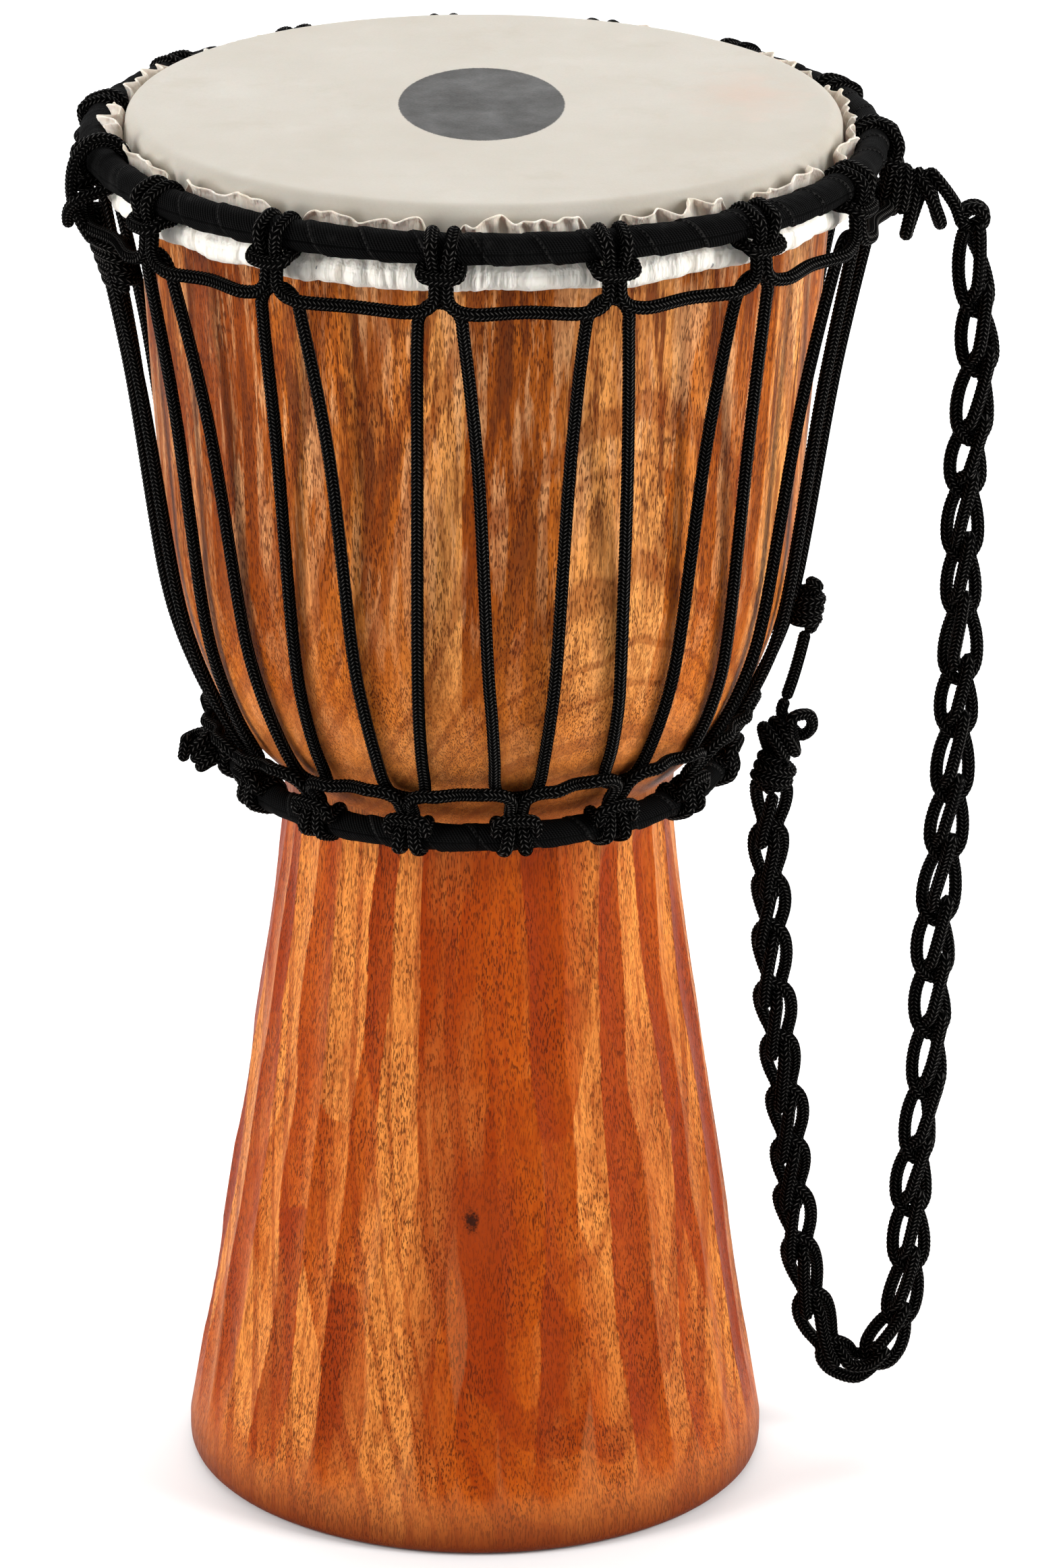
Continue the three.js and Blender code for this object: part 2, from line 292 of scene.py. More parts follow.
# Half of one link: along the chain in links, sideways and towards its face, from the back to the bight
LINK_HALF = [
    (0.02, 2.6, -2.4), (0.12, 2.5, 1.0), (0.30, 3.4, 3.6), (0.58, 5.6, 3.8), (0.86, 6.6, 2.4),
    (1.10, 5.9, 0.4), (1.25, 3.2, -0.8), (1.30, 0.0, -1.3),
]
LINK_BACK = [  # the strand behind, to the next link
    (-0.05, 2.4, -4.4), (0.08, 1.9, -5.6), (0.3, 1.0, -5.4), (0.7, -1.0, -5.4), (0.92, -2.0, -4.6),
]


def strap_links(length):
    """Where each link of the chain starts: links are a little longer on the outer run, and uneven."""
    rng = np.random.default_rng(4)
    starts = [0.0]
    while starts[-1] < length - 20:
        pitch = LINK_PITCHES[0] if starts[-1] < OUTER_SHARE * length else LINK_PITCHES[1]
        starts.append(starts[-1] + pitch * rng.uniform(0.9, 1.1))
    scale = length / starts[-1]
    return [s * scale for s in starts]


def strap_stations():
    """The rope's stations through every loop of the chain."""
    axis = smooth_line([(x, 0, z) for x, z in STRAP_ROUTE], 1.0)
    along, _, _ = frames_along(axis)
    face = np.array([0.0, 1.0, 0.0])
    starts = strap_links(len(axis) - 1.0)
    rng = np.random.default_rng(9)
    stations = []
    twist = 0.5
    for start, end in zip(starts[:-1], starts[1:]):
        pitch = end - start
        twist = 0.5 * twist + rng.uniform(-0.28, 0.42)
        width = rng.uniform(0.92, 1.1)
        half = [(u, w * width, n) for u, w, n in LINK_HALF]
        link = [(u, -w, n) for u, w, n in half] + half[-2::-1] + LINK_BACK
        for u, w, n in link:
            at = min(max(start + u * pitch, 0), len(axis) - 1)
            here = int(at)
            sideways = np.cross(along[here], face)
            turn = twist * (1 - 0.3 * u)
            across = sideways * math.cos(turn) + face * math.sin(turn)
            front = face * math.cos(turn) - sideways * math.sin(turn)
            stations.append(axis[here] + (at - here) * along[here] + across * w + front * n)
    return stations, axis * MM


def knot_coil(centre, axis, tall, deep, turns, run, phase=0.0, per_turn=8):
    """Stations of a coil round an axis: its half sizes are tall (up) and deep (across), its length run."""
    axis = np.array(axis, float)
    axis /= np.linalg.norm(axis)
    up = np.array([0.0, 0.0, 1.0]) if abs(axis[2]) < 0.7 else np.array([1.0, 0.0, 0.0])
    up = up - axis * (up @ axis)
    up /= np.linalg.norm(up)
    across = np.cross(axis, up)
    count = round(turns * per_turn)
    share = np.linspace(0, 1, count + 1)
    a = phase + 2 * np.pi * turns * share
    run_at = (share - 0.5) * run
    spots = np.array(centre) + run_at[:, None] * axis
    return list(spots + tall * np.cos(a)[:, None] * up + deep * np.sin(a)[:, None] * across)


def make_strap(material):
    """The chained strap, the knots at its two ends, and the tail that is knotted to an upright."""
    stations, axis = strap_stations()
    strap = rope("carry_strap_chain", stations, STRAP_ROPE)
    finish_piece(strap, material, "rope", None, "carry_strap")

    near = knot_coil((172.5, -1, 575), (1, 0, -0.2), 9.0, 7.0, 2, 8, phase=2.4)
    far = knot_coil((181, 0, 568.5), (1, 0, -0.25), 14.2, 5.6, 1.0, 6.0, phase=0.2)
    last = knot_coil((188.5, -1, 570.5), (1, 0.3, 0.35), 11.0, 5.2, 1.1, 6.5, phase=0.0)
    across = [(197.5, -4, 569)]
    eye = knot_coil((205.2, 0, 562.5), (0, 1, 0.1), 4.7, 4.7, 1.6, 6.5, phase=-1.9)
    lead = [(163, -3, 604.5), (169.5, -6, 602), (173, -7, 595), (171, -6, 587)]
    top_stations = lead + near + far + last + across + eye + [stations[0]]
    top_knot = rope("strap_top_knot_rope", top_stations, STRAP_ROPE)
    finish_piece(top_knot, material, "rope", "crown_rigging", "strap_top_knot")

    coil = knot_coil((127.0, 0, 315), (0.35, 0.1, 1), 6.9, 6.3, 2.3, 10, phase=3.0)
    turned = knot_coil((127.5, 0, 328), (1, 0.25, 0.45), 8.2, 6.2, 2.1, 11, phase=2.4)
    bight = [(134, -7, 341), (141, -3, 341), (142.5, 1, 334), (138, 5, 329), (132, 6, 335)]
    lower_stations = [stations[-1]] + coil + turned + bight + [(129.5, 2, 341), TAIL_ROUTE[0]]
    lower_knot = rope("strap_lower_knot_rope", lower_stations)
    finish_piece(lower_knot, material, "rope", "drum", "strap_lower_knot")

    tail = rope("strap_tail_rope", TAIL_ROUTE)
    finish_piece(tail, material, "rope", "drum", "strap_tail")

    at = place(139.6, 85.6, 392.0)
    tail_coil = knot_coil(at, (0.16, 0.05, 1), 4.6, 4.6, 3.4, 14.5, phase=0.6)
    tail_end = [at + np.array([4.0, -3, 11]), at + np.array([-1.0, -4, 14.5])]
    tail_knot = rope("strap_tail_knot_rope", [TAIL_ROUTE[-1]] + tail_coil + tail_end)
    finish_piece(tail_knot, material, "rope", "drum", "strap_tail_knot")

    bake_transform(strap)


# ---- Cradle ropes: a cow hitch on the ring for each pair of uprights, and a level run to the next ----


def hitch_half(ring, hitch):
    """Half a cow hitch, from the level run over the ring to its collar's middle: along, out, up."""
    toward = math.copysign(1, hitch.up - ring.up)
    held = ring.wound + 0.9 * ROPE
    sunk = ring.wound - 0.15 * ROPE  # the rope bites into the webbing
    middle_out, middle_up = hitch.collar_middle
    end_out, end_up = hitch.collar_end
    tucked = (ring.out + middle_out - 1.9 * ROPE, ring.up + toward * middle_up)

    def on_neck(along, share):
        """On the neck, from the level run at 0 to under the collar at 1."""
        out = hitch.out + (tucked[0] - hitch.out) * share
        return along, out, hitch.up + (tucked[1] - hitch.up) * share

    def round_ring(along, degrees, reach):
        """Round the ring's section, from straight out and away from the neck."""
        a = math.radians(degrees)
        return along, ring.out + reach * math.cos(a), ring.up - toward * reach * math.sin(a)

    neck_shape = (
        (15.0, 0.0), (10.6, 0.02), (7.2, 0.07), (4.9, 0.16),
        (3.4, 0.27), (2.7, 0.38), (2.5, 0.5), (2.5, 1),
    )
    over_ring = ((4.4, 60), (4.5, 100), (4.5, 140), (4.8, 180))
    half = [on_neck(along, share) for along, share in neck_shape]
    half += [round_ring(3.3, -20, held), round_ring(4.1, 15, held)]
    half += [round_ring(along, degrees, sunk) for along, degrees in over_ring]
    half += [round_ring(5.4, 225, sunk), round_ring(7.0, 262, sunk + 0.6)]
    half += [
        (7.9, ring.out + end_out, ring.up + toward * end_up),
        (7.4, ring.out + 0.84 * middle_out, ring.up + toward * (0.3 * end_up + 0.7 * middle_up)),
        (4.4, ring.out + 0.97 * middle_out, ring.up + toward * (0.06 * end_up + 0.94 * middle_up)),
        (0.0, ring.out + middle_out, ring.up + toward * middle_up),
    ]
    return half


def cradle_rope(name, ring, hitch, first_around, seed):
    """One rope that hitches to the ring all round."""
    rng = np.random.default_rng(seed)
    half = hitch_half(ring, hitch)
    reach = abs(hitch.up - ring.up) - ring.wound
    stations = []
    for i in range(HITCHES):
        around = first_around + i * STEP + rng.uniform(-0.35, 0.35)
        drop = rng.uniform(-0.7, 0.7)
        spread = rng.uniform(0.95, 1.06)
        whole = [(-s, out, up) for s, out, up in half] + half[-2::-1]
        for s, out, up in whole:
            away = min(max((abs(up - ring.up) - ring.wound) / reach, 0), 1)
            up += leaning(ring.lean + (hitch.lean - ring.lean) * away, around) + drop * away
            stations.append(place(out, around, up, s * spread))
        middle = around + STEP / 2
        chord = hitch.out * math.cos(math.radians(STEP / 2)) + 0.4
        sag = rng.uniform(-0.5, 0.3)
        stations.append(place(chord, middle, hitch.up + leaning(hitch.lean, middle) + sag))
    return rope(name, np.array(stations), HITCH_ROPE, closed=True)


# ---- Tuning rope: thirty uprights in one zigzag between the cradles ----

OFF_WOOD = ROPE + 0.4
LEG_ON_WOOD = (  # from the foot of an upright: its share of the turn, and the wood's out and height
    (1.0, 109.2, 347.5), (0.93, 117.2, 362), (0.81, 126.2, 384.3), (0.69, 131.6, 405),
)
LEG_IN_AIR = (0.33, 149.8, 503)  # share, out and height where it has left the wood
CROWN_BEND = ((161.6, 560.5, 9.2), (163.2, 567.3, 8.4), (163.8, 572.4, 4.8))  # out, height, sideways
CROWN_BEND_TOP = (163.8, 573.8)
LOWER_BEND = ((-7.0, 105.8, 342.6), (0, 104.6, 340.8), (7.0, 105.8, 342.6))  # sideways, out, height
LEAN_OUT = 0.4  # the wood's slope near the lower ring: how far out a leaning upright moves as it rises
LEG_TOP = 3.3  # degrees from a crown hitch to each of its uprights
LEG_FOOT = 4.5  # degrees from a lower hitch to each of its uprights


def tuning_rope():
    """Up to a crown neck, behind it and down, behind a lower neck, and so on all round."""
    rng = np.random.default_rng(31)
    stations = []
    last = FIRST_HITCH + HITCHES - 1
    for i in range(FIRST_HITCH, last + 1):
        top = CROWN_AROUND + i * STEP
        bottom = LOWER_AROUND + i * STEP
        for side in (-1, 1):
            high = top + side * LEG_TOP
            low = (bottom if side > 0 else bottom - STEP) - side * LEG_FOOT
            stray = rng.uniform(-0.2, 0.2)
            leg = []
            for share, out, up in LEG_ON_WOOD:
                lean = leaning(LOWER_HITCH.lean * max(share - 0.7, 0) / 0.3, low)
                around = high + (low - high) * share + stray
                leg.append(place(out + OFF_WOOD + LEAN_OUT * lean, around, up + lean))
            share, out, up = LEG_IN_AIR
            leg.append(place(out, high + (low - high) * share, up))
            for out, up, aside in CROWN_BEND:
                leg.append(place(out, top, up, side * aside))
            stations += leg if side < 0 else leg[::-1]
            if side < 0:
                out, up = CROWN_BEND_TOP
                stations.append(place(out, top, up))
        if i < last:
            lean = leaning(LOWER_HITCH.lean, bottom)
            for aside, out, up in LOWER_BEND:
                stations.append(place(out + OFF_WOOD + LEAN_OUT * lean, bottom, up + lean, aside))
    return rope("tuning_rope_braid", np.array(stations))


def tie_off():
    """Spare rope wound round two uprights, and its end taken up over the ring."""
    around = CROWN_AROUND + FIRST_HITCH * STEP
    lean = 0.33
    turns = 4.4
    stations = []
    for a in np.linspace(0, 2 * np.pi * turns, round(turns * 10)):
        share = a / (2 * np.pi * turns)
        up = 541.5 + 20 * share
        out = 155.9 + (up - 551) * lean
        squeeze = 1 - 0.12 * math.cos(2 * a)
        out += 5.6 * math.sin(a) * squeeze
        stations.append(place(out, around, up + 1.1 * math.sin(a + 1), 14.5 * math.cos(a)))
    stations += [
        place(169, around, 566, 12.5),
        place(174.5, around, 577, 10.5),
        place(176.5, around, 588, 12.5),
        place(174.5, around, 600, 14),
        place(167, around, 607.5, 14.5),
        place(158.5, around, 606.5, 14.8),
        place(153.2, around, 598, 15),
        place(156, around, 589.5, 15.6),
        place(165, around, 586, 17),
        place(174, around, 583, 16),
        place(177.5, around, 577, 11),
        place(177, around, 569, 7),
    ]
    return rope("tuning_tie_off_rope", np.array(stations))


def stopper_knot():
    """A small knot where the tuning rope starts."""
    at = place(118.4, LOWER_AROUND + (FIRST_HITCH - 1) * STEP, 324.0)
    coil = knot_coil(at, (-0.55, 0.1, 1), 4.8, 4.8, 3.4, 15, phase=1.0)
    end = [at + np.array([-7.5, -3, 5]), at + np.array([-9, -5, -4])]
    return rope("lower_stopper_knot_rope", coil + end)


# ---- Rings ----


def steel_hoop(name, ring):
    """A round bar welded into a hoop, with the weld's bead at the back."""
    count, sides = 240, 20
    around = np.arange(count)[:, None] * 360 / count
    a = 2 * np.pi * np.arange(sides)[None] / sides
    bead = 1 + 0.06 * np.exp(-(((around - 180) / 1.6) ** 2))
    up = ring.up + leaning(ring.lean, around) + ring.steel * bead * np.sin(a)
    points = place(ring.out + ring.steel * bead * np.cos(a), around, up)
    return make_mesh(name, points.reshape(-1, 3), grid_faces(count, sides, rows_close=True))


def wound_webbing(name, ring, turns, seed):
    """Webbing wound along the ring: each turn laps over the one before, with an edge that stands up."""
    rng = np.random.default_rng(seed)
    count = round(2 * math.pi * ring.out / 1.1)
    sides = 44
    share = np.arange(count)[:, None] / count
    a = 2 * np.pi * np.arange(sides)[None] / sides
    wobble = sum(
        rng.uniform(0.01, 0.035) * np.sin(2 * np.pi * k * share + rng.uniform(0, 6.3))
        for k in (2, 5, 9, 17, 26)
    )
    turn = turns * share + a / (2 * np.pi) + wobble
    lap = turn % 1
    edge = np.clip(lap / 0.06, 0, 1)
    lift = 1.1 * edge * (1 - 0.75 * lap)
    rucks = 0.16 * np.sin(2 * np.pi * 3 * turn + 5 * np.sin(a + 40 * share))
    radius = ring.wound - 1.0 + lift + rucks * (1 - lap)
    up = ring.up + leaning(ring.lean, share * 360) + radius * np.sin(a)
    points = place(ring.out + radius * np.cos(a), share * 360, up)
    length = 2 * math.pi * ring.out
    ribs = length * share + length / turns * a / (2 * np.pi)
    uv = np.stack(np.broadcast_arrays(ribs, a * ring.wound), -1) * MM
    faces = grid_faces(count, sides, rows_close=True)
    return make_mesh(name, points.reshape(-1, 3), faces, uv.reshape(-1, 2), {"lap": lap})


# ---- Drumhead ----


def curve(*corners, pieces):
    """Points of a Bezier curve, without its last."""
    t = np.linspace(0, 1, pieces, endpoint=False)[:, None]
    p = np.array(corners, float)
    if len(p) == 3:
        return (1 - t) ** 2 * p[0] + 2 * t * (1 - t) * p[1] + t**2 * p[2]
    return (1 - t) ** 3 * p[0] + 3 * t * (1 - t) ** 2 * p[1] + 3 * t**2 * (1 - t) * p[2] + t**3 * p[3]


def arc(out, up, radius, start, end, pieces):
    a = np.radians(np.linspace(start, end, pieces, endpoint=False))
    return np.stack([out + radius * np.cos(a), up + radius * np.sin(a)], 1)


def ripple(around, seed, waves):
    """Uneven ripples round the drum: each wave has a count a turn and a size."""
    rng = np.random.default_rng(seed)
    total = 0
    for count, size in waves:
        for k in (-2, -1, 0, 1, 2):
            part = size * rng.uniform(0.2, 0.6)
            total = total + part * np.sin(np.radians(around) * (count + 3 * k) + rng.uniform(0, 6.3))
    return total


def slits(around, down, seed, count):
    """Depth of the gathered skin's narrow puckers. Down goes from 0 to 1 across the fold."""
    rng = np.random.default_rng(seed)
    depth = 0
    for _ in range(count):
        near = CROWN_AROUND + STEP * rng.integers(0, HITCHES) + rng.normal(0, 6.5)
        wide = rng.uniform(0.3, 0.75)
        across = (around - near - rng.uniform(-1.5, 1.5) * down + 180) % 360 - 180
        along = np.exp(-(((down - rng.uniform(0.1, 0.9)) / rng.uniform(0.25, 0.6)) ** 2))
        depth = np.maximum(depth, rng.uniform(0.5, 1.7) * along * np.exp(-((across / wide) ** 2)))
    return depth


def drumhead():
    """One skin: over the bearing edge, down the side, round the flesh hoop, up behind the crown ring."""
    half = SKIN / 2
    rim_out = HEAD_OUT - SKIN - GAP - RIM_ROUND
    rim_up = HEIGHT - SKIN - GAP - RIM_ROUND
    skin_at_rim = HEAD_OUT - half - rim_out
    fold = FLESH.steel + GAP + half
    face_rows = 42
    face_out = rim_out * np.linspace(0, 1, face_rows, endpoint=False) ** 0.8
    face = np.stack([face_out, np.full(face_rows, HEIGHT - half)], 1)
    side_top = [HEAD_OUT - half, rim_up]
    side_foot = [FLESH.out - fold - 0.4, FLESH.up + 1]
    side = np.linspace(side_top, side_foot, 12, endpoint=False)
    line = np.vstack([
        face[1:],
        arc(rim_out, rim_up, skin_at_rim, 90, 0, 9),
        side,
        arc(FLESH.out, FLESH.up, fold + 0.4, 180, 400, 30),
        curve((159.0, 584.3), (156.0, 587.5), (154.2, 590.0), pieces=5),
        curve((154.2, 590.0), (152.9, 596.5), (153.8, 602.0), pieces=9),
        curve((153.8, 602.0), (154.4, 604.0), (156.0, 605.4), pieces=6),
    ])
    columns = 1500
    around = np.arange(columns)[None] * 360 / columns
    out, up = line[:, :1], line[:, 1:]
    rows = np.arange(len(line))[:, None]
    fold_start = len(face) - 1 + 9 + len(side)
    down = np.clip((fold_start + 34 - rows) / 26, 0, 1)
    folded = np.clip((rows - fold_start - 4) / 6, 0, 1)
    frill = np.clip((rows - fold_start - 33) / 12, 0, 1)
    pleats = ripple(around, 3, ((46, 0.42), (88, 0.44), (140, 0.26)))
    pucker = slits(around, down, 8, 210)
    slant = ripple(around + 2.2 * frill, 5, ((34, 1.5), (61, 1.7), (120, 0.9)))
    sag = ripple(around, 12, ((9, 0.8), (23, 0.8)))
    hitch = np.abs((around - CROWN_AROUND + STEP / 2) % STEP - STEP / 2)
    under_hitch = np.exp(-((hitch / 2.6) ** 4))
    out = out + (pleats - pucker) * folded * (1 - frill)
    out = out + slant * frill * (1 - under_hitch) * 1.15
    up = up + 0.9 * sag * folded * (1 - frill)
    up = up + (sag * 1.2 + ripple(around, 15, ((28, 1.0), (63, 0.9)))) * frill
    up = up - 9 * frill * under_hitch
    tucked = np.where(rows > fold_start + 31, np.clip(150.9 - out, 0, None), 0)
    out = np.clip(out, None, 161.2) + tucked
    points = place(out, around, up).reshape(-1, 3)
    points = np.vstack([points, [[0, 0, HEIGHT - half]]])
    faces = grid_faces(len(line), columns).tolist()
    middle = len(points) - 1
    faces += [[middle, (j + 1) % columns, j] for j in range(columns)]
    marks = {}
    for key, values in (("frill", frill), ("fold", folded)):
        marks[key] = np.append(np.broadcast_to(values, out.shape), 0)
    piece = make_mesh("drumhead_skin", points, faces, marks=marks)
    solid = piece.modifiers.new("thickness", "SOLIDIFY")
    solid.thickness = 0.7 * MM
    solid.offset = 0
    return piece


# ---- Shell ----

FOOT = (126.0, 12.0)
WAIST = (84.0, 300.0)
NECK = (84.0, 321.0)
BELLY = (135.5, 430.0)


def shell_outline():
    """Out and up of the shell's turned shape: up the outside, over the edge and down the inside."""
    wood_top = HEIGHT - SKIN - GAP
    rim = (HEAD_OUT - SKIN - GAP, wood_top - RIM_ROUND)
    outside = np.vstack([
        curve((120, 0), (126, 0), (126, 6), pieces=5),
        np.linspace((126, 6), FOOT, 4, endpoint=False),
        curve(FOOT, (100.8, 164), WAIST, pieces=170),
        np.linspace(WAIST, NECK, 7, endpoint=False),
        curve(NECK, (99.5, 335), (126, 358.5), BELLY, pieces=52),
        curve(BELLY, (141.5, 508), rim, pieces=84),
        arc(rim[0] - RIM_ROUND, rim[1], RIM_ROUND, 0, 90, 8),
    ])
    inside = np.vstack([
        curve((rim[0] - RIM_ROUND, wood_top), (138, wood_top - 1), (134, wood_top - 9), pieces=6),
        curve((134, wood_top - 9), (130, 480), (118, 424), pieces=26),
        curve((118, 424), (104, 350), (50, 336), pieces=20),
        np.linspace((50, 336), (50, 300), 6, endpoint=False),
        curve((50, 300), (66, 150), (109, 0), pieces=40),
        [(109, 0)],
    ])
    return outside, inside


def fade(value, low, high):
    t = np.clip((value - low) / (high - low), 0, 1)
    return t * t * (3 - 2 * t)


def wander(up, rng, lengths, size):
    """A slow sideways drift with height."""
    return sum(
        size * rng.uniform(-1, 1) * np.sin(2 * np.pi * up / length + rng.uniform(0, 6.3))
        for length in lengths
    )


class Strokes:
    """Tool strokes laid side by side: the deepest one wins, so the ridges between them stay crisp. The
    winner's tone is painted light and shade.
    """

    def __init__(self, around, up, out):
        self.around = around
        self.up = up
        self.out = out
        shape = np.broadcast_shapes(around.shape, up.shape)
        self.depth = np.full(shape, -9.0)
        self.tone = np.zeros(shape)

    def add(self, centre, deep, hollow, tone):
        """One stroke: its depth along its centre line, the radius of its hollow across, and its tone of
        painted light and shade.
        """
        across = ((self.around - centre + 180) % 360 - 180) * np.radians(1) * self.out
        cut = deep - across**2 / (2 * hollow)
        wins = cut > self.depth
        # painted shading: the winning stroke's tone, lighter on one side of the stroke than the other, as
        # if lit from the side
        self.tone = np.where(wins, tone + np.clip(across / 60, -0.15, 0.15), self.tone)
        self.depth = np.where(wins, cut, self.depth)


def stem_gouges(around, up, out):
    """The long gouge strokes carved down the stem: their depth, and a tone of painted light and shade for
    each.
    """
    rng = np.random.default_rng(17)
    columns = 37
    strokes = Strokes(around, up, out)
    for k in range(columns):
        drift = wander(up, rng, (90, 140, 260), 1.5)
        lean = rng.uniform(-2.0, 2.0)
        # painted shading: columns alternately lit and shaded, and painted shade down the front of the stem,
        # where the side lights leave it dark
        column_painted_shading = 0.35 + 0.4 * (k % 2) + rng.uniform(-0.2, 0.2)
        from_front = (k * 360 / columns + 180) % 360 - 180
        painted_front_shade = 0.38 * math.exp(-((from_front / 15) ** 2))
        for middle in (55, 150, 245):
            centre = 360 / columns * (k + rng.uniform(-0.16, 0.16)) + drift + lean * (up - 150) / 300
            start = middle + rng.uniform(-30, 30)
            long = rng.uniform(60, 110)
            deep = rng.uniform(1.6, 3.0)
            hollow = rng.uniform(20, 34)
            end = ((up - start) / long) ** 4 * 1.6
            tone = column_painted_shading - painted_front_shade + rng.uniform(-0.3, 0.3)
            strokes.add(centre, deep - end, hollow, tone)
    return np.clip(strokes.depth, 0, None), strokes.tone


def bowl_facets(around, up, out):
    """The flatter strokes down the bowl: their depth, and a tone of painted light and shade for each."""
    rng = np.random.default_rng(23)
    columns = 40
    strokes = Strokes(around, up, out)
    for k in range(columns):
        centre = 360 / columns * (k + rng.uniform(-0.3, 0.3)) + wander(up, rng, (90, 170), 0.8)
        deep = rng.uniform(0.8, 1.7)
        hollow = rng.uniform(50, 100)
        # each facet gets a random tone of painted light and shade
        strokes.add(centre, deep, hollow, rng.uniform(0.0, 1.0))
    return np.clip(strokes.depth, 0, None), strokes.tone


KNOT_SPOT = (-2.0, 147.0)  # the small dark knot: its place across the front, and its height


def shell():
    """The carved goblet: a turned shape with gouge strokes taken out of it."""
    outside, inside = shell_outline()
    line = np.vstack([outside, inside])
    columns = 840
    around = np.arange(columns)[None] * 360 / columns
    out, up = line[:, :1], line[:, 1:]
    is_out = (np.arange(len(line)) < len(outside))[:, None]
    stem = is_out * fade(up, 14, 60) * (1 - fade(up, 304, 318))
    bowl = is_out * fade(up, 360, 440) * (1 - fade(up, HEIGHT - 14, HEIGHT - 9))
    gouges, stem_painted_shading = stem_gouges(around, up, out)
    facets, bowl_painted_shading = bowl_facets(around, up, out)
    gouged = gouges * stem
    faceted = facets * bowl
    spot = np.hypot(np.radians(around) * out - KNOT_SPOT[0], (up - KNOT_SPOT[1]) * 0.7)
    pit = 0.7 * np.exp(-((spot / 2.4) ** 2)) * stem
    rng = np.random.default_rng(2)
    adze = sum(
        rng.uniform(0.2, 0.5) * np.sin(np.radians(around) * n + up / w + rng.uniform(0, 6.3))
        for n, w in ((9, 23), (17, 31), (26, 17), (33, 41))
    ) * ~is_out * fade(HEIGHT - up, 14, 30) * fade(up, 0, 14)
    points = place(out - gouged - faceted - pit + adze, around, up).reshape(-1, 3)
    faces = grid_faces(len(line), columns, rows_close=True)
    # how deep the carving is: the wood paints a highlight where it is shallow
    cut = np.clip(gouged / 2.2, 0, 1) + np.clip(faceted / 1.0, 0, 1)
    raw = np.broadcast_to(1.0 - is_out, cut.shape)
    # painted light and shade for each carved facet, carried to the wood as the tone mark
    tone = 0.5 + (stem_painted_shading - 0.5) * stem + (bowl_painted_shading - 0.5) * bowl
    return make_mesh("shell_carved", points, faces, marks={"cut": cut, "raw": raw, "tone": tone})


# ---- Materials ----


class Shader:
    """A node material, built up socket by socket."""

    def __init__(self, name):
        self.material = bpy.data.materials.new(name)
        self.material.use_nodes = True
        self.tree = self.material.node_tree
        self.surface = self.tree.nodes["Principled BSDF"]
        self.place = self.node("TexCoord").outputs["Object"]

    def node(self, kind, inputs=None, **settings):
        made = self.tree.nodes.new("ShaderNode" + kind)
        for key, value in settings.items():
            setattr(made, key, value)
        for key, value in (inputs or {}).items():
            self.feed(made.inputs[key], value)
        return made

    def feed(self, socket, value):
        if isinstance(value, bpy.types.NodeSocket):
            self.tree.links.new(value, socket)
        elif value is not None:
            socket.default_value = value

    def surface_is(self, **values):
        for key, value in values.items():
            self.feed(self.surface.inputs[key.replace("_", " ")], value)

    def math(self, operation, a, b=None, c=None, clamp=False):
        return self.node("Math", {0: a, 1: b, 2: c}, operation=operation, use_clamp=clamp).outputs[0]

    def scaled(self, vector, x, y, z):
        return self.node("VectorMath", {0: vector, 1: (x, y, z)}, operation="MULTIPLY").outputs[0]

    def moved(self, vector, offset):
        return self.node("VectorMath", {0: vector, 1: offset}, operation="ADD").outputs[0]

    def length(self, vector):
        return self.node("VectorMath", {0: vector}, operation="LENGTH").outputs["Value"]

    def noise(self, vector, scale, detail=2.0, roughness=0.5, output="Fac"):
        inputs = {"Vector": vector, "Scale": scale, "Detail": detail, "Roughness": roughness}
        return self.node("TexNoise", inputs).outputs[output]

    def wave_noise(self, value, scale, detail=2.0):
        inputs = {"W": value, "Scale": scale, "Detail": detail}
        return self.node("TexNoise", inputs, noise_dimensions="1D").outputs["Fac"]

    def range(self, value, low, high, to_low=0.0, to_high=1.0):
        inputs = {
            "Value": value, "From Min": low, "From Max": high, "To Min": to_low, "To Max": to_high,
        }
        return self.node("MapRange", inputs).outputs["Result"]

    def mix(self, factor, a, b, blend="MIX"):
        made = self.node("Mix", {0: factor, 6: a, 7: b}, data_type="RGBA", blend_type=blend)
        return made.outputs[2]

    def mark(self, name):
        return self.node("Attribute", attribute_name=name).outputs["Fac"]

    def bump(self, height, distance, strength=1.0, normal=None):
        inputs = {"Height": height, "Distance": distance, "Strength": strength, "Normal": normal}
        return self.node("Bump", inputs).outputs["Normal"]


def colour(red, green, blue):
    return (red, green, blue, 1.0)


